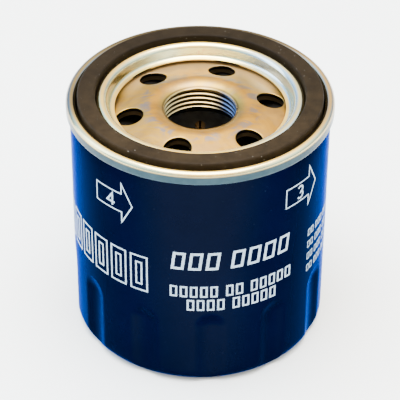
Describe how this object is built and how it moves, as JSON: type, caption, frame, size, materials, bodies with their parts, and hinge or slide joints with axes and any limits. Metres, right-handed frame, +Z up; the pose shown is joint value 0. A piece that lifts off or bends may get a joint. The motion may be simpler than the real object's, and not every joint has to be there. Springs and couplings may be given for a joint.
{
  "type": "spin-on oil filter",
  "caption": "Spin-on engine oil filter: fluted can, rolled seam, rubber gasket, drilled and tapped end plate, pleated element, bypass and anti-drain valves.",
  "frame": {"origin": "centre of the standing ring of the closed end", "axes": "+Z up the can's axis, from the closed end to the gasket; -Y is the side the picture shows"},
  "size_m": [0.076, 0.076, 0.077],
  "materials": {
    "painted_can": "gloss",
    "tinplate": "bright",
    "zinc_plated_steel": "satin",
    "gasket_rubber": "matt",
    "weld_steel": "matt",
    "seam_sealant": "matt",
    "spring_steel": "satin",
    "valve_rubber": "matt",
    "plain_steel": "satin",
    "adhesive": "matt",
    "filter_paper": "matt"
  },
  "bodies": {
    "shell": {"can": "painted_can", "seaming_lid": "tinplate", "tapping_plate": "zinc_plated_steel", "gasket": "gasket_rubber", "plate_welds": "weld_steel", "seam_compound": "seam_sealant", "element_spring": "spring_steel"},
    "drain_valve": {"anti_drain_valve": "valve_rubber"},
    "element": {"upper_end_cap": "plain_steel", "lower_end_cap": "plain_steel", "upper_adhesive": "adhesive", "lower_adhesive": "adhesive", "pleated_paper": "filter_paper", "pleat_clip": "plain_steel", "centre_tube": "plain_steel", "bypass_seat": "plain_steel", "bypass_cage": "plain_steel", "bypass_spring": "spring_steel"},
    "poppet": {"bypass_poppet": "plain_steel", "bypass_seal": "valve_rubber"}
  },
  "joints": [
    {"name": "drain_lip_open", "type": "slide", "parent": "shell", "child": "drain_valve", "axis": [0, 0, -1], "range_m": [0, 0.0012], "stiffness_N_per_m": 400, "springref_m": -0.001, "deforming": ["anti_drain_valve"]},
    {"name": "element_float", "type": "slide", "parent": "shell", "child": "element", "axis": [0, 0, -1], "range_m": [0, 0.0015], "stiffness_N_per_m": 4000, "springref_m": -0.005, "deforming": ["element_spring"]},
    {"name": "bypass_lift", "type": "slide", "parent": "element", "child": "poppet", "axis": [0, 0, 1], "range_m": [0, 0.003], "stiffness_N_per_m": 2500, "springref_m": -0.004, "deforming": ["bypass_spring"]}
  ]
}
